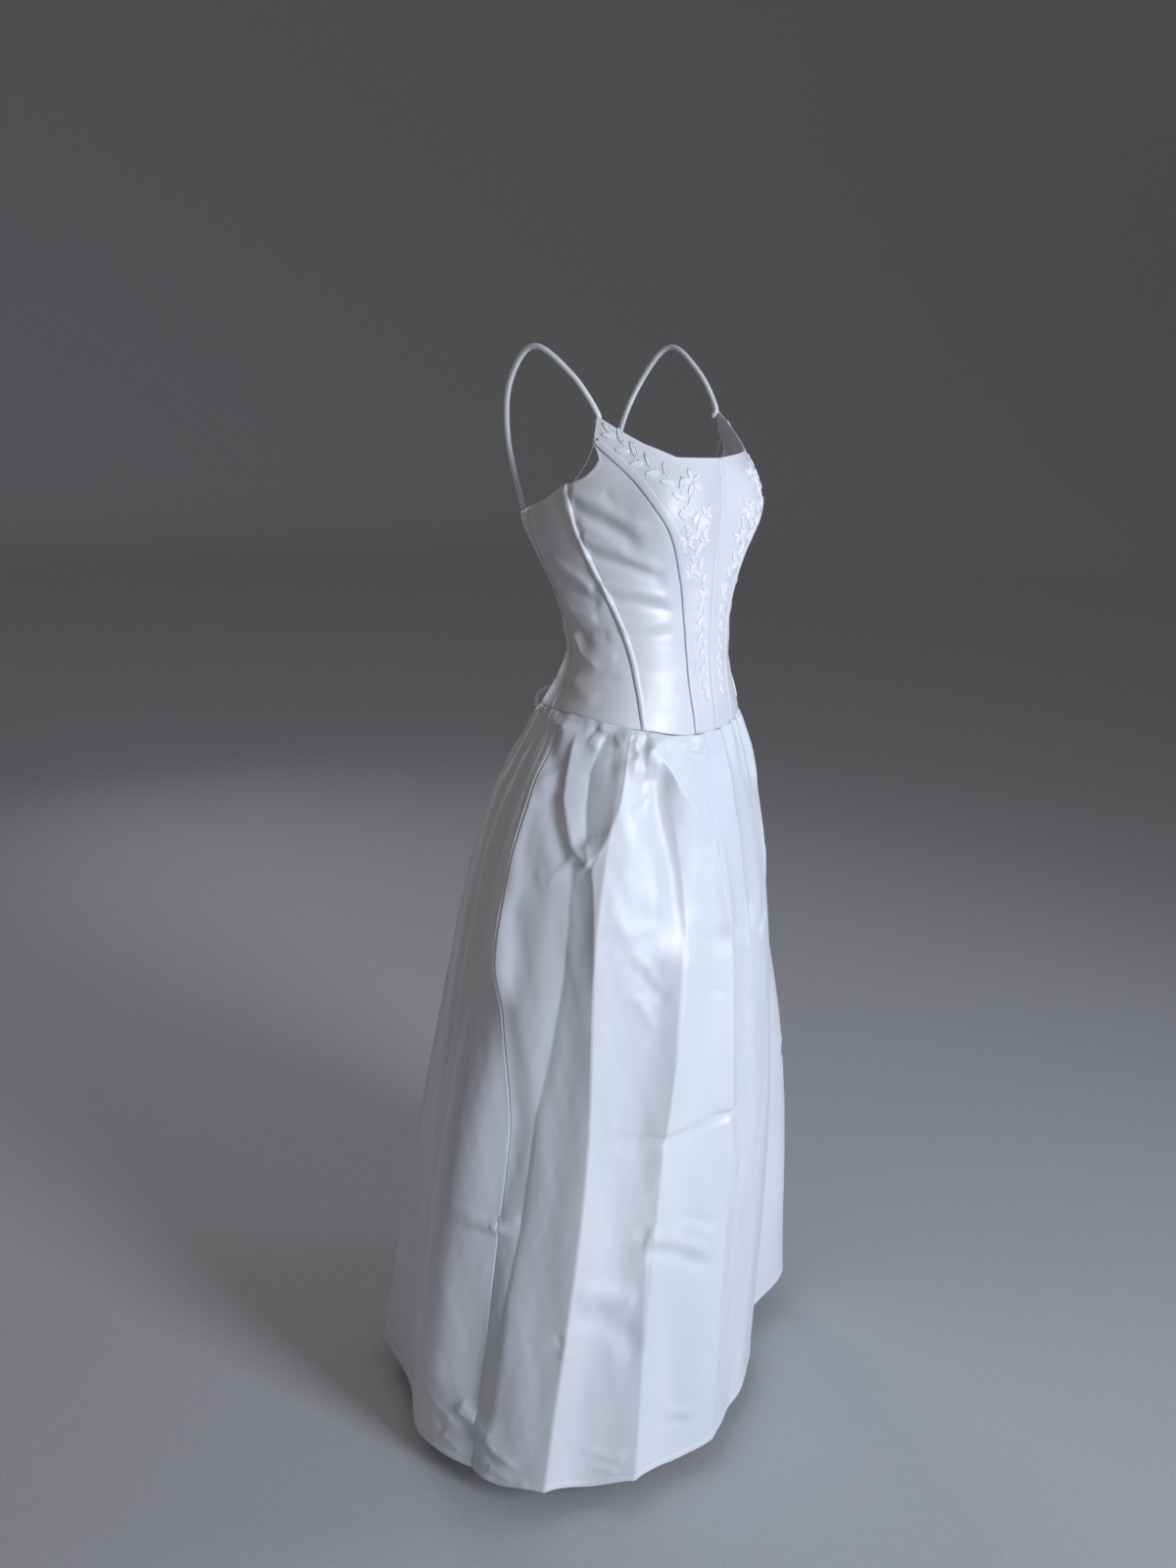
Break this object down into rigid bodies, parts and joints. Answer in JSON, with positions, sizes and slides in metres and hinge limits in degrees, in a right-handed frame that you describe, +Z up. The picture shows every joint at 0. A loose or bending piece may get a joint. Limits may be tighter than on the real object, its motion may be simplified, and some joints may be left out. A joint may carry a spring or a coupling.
{
  "type": "wedding dress",
  "caption": "Full-length satin wedding dress with thin straps, a boned and laced bodice and a gathered skirt, hollow and open, in the form it has when worn",
  "frame": {"origin": "midway between the tops of the two straps, where the wearer's shoulders hold the dress", "axes": "+Z is up, -Y is the wearer's front, -X is the wearer's right side"},
  "size_m": [0.6319, 0.528, 1.4197],
  "materials": {
    "bodice_satin": "cool white satin",
    "skirt_satin": "cool white satin",
    "trim_satin": "white satin rouleau cord"
  },
  "bodies": {
    "root": {"bodice_centre_front": "bodice_satin", "channel_centre_front": "bodice_satin", "bodice_side_front_right": "bodice_satin", "bodice_side_back_right": "bodice_satin", "bodice_back_right": "bodice_satin", "channel_princess_right": "bodice_satin", "channel_side_front_right": "bodice_satin", "channel_side_back_right": "bodice_satin", "bodice_side_front_left": "bodice_satin", "bodice_side_back_left": "bodice_satin", "bodice_back_left": "bodice_satin", "channel_princess_left": "bodice_satin", "channel_side_front_left": "bodice_satin", "channel_side_back_left": "bodice_satin", "skirt_front": "skirt_satin", "skirt_back_right": "skirt_satin", "skirt_back_left": "skirt_satin", "strap_right": "trim_satin", "loop_right_1": "trim_satin", "loop_right_2": "trim_satin", "loop_right_3": "trim_satin", "loop_right_4": "trim_satin", "loop_right_5": "trim_satin", "loop_right_6": "trim_satin", "strap_left": "trim_satin", "loop_left_1": "trim_satin", "loop_left_2": "trim_satin", "loop_left_3": "trim_satin", "loop_left_4": "trim_satin", "loop_left_5": "trim_satin", "loop_left_6": "trim_satin", "lacing": "trim_satin", "lace_knot": "trim_satin", "bow_loop_right": "trim_satin", "lace_tail_right": "trim_satin", "bow_loop_left": "trim_satin", "lace_tail_left": "trim_satin"}
  },
  "joints": []
}
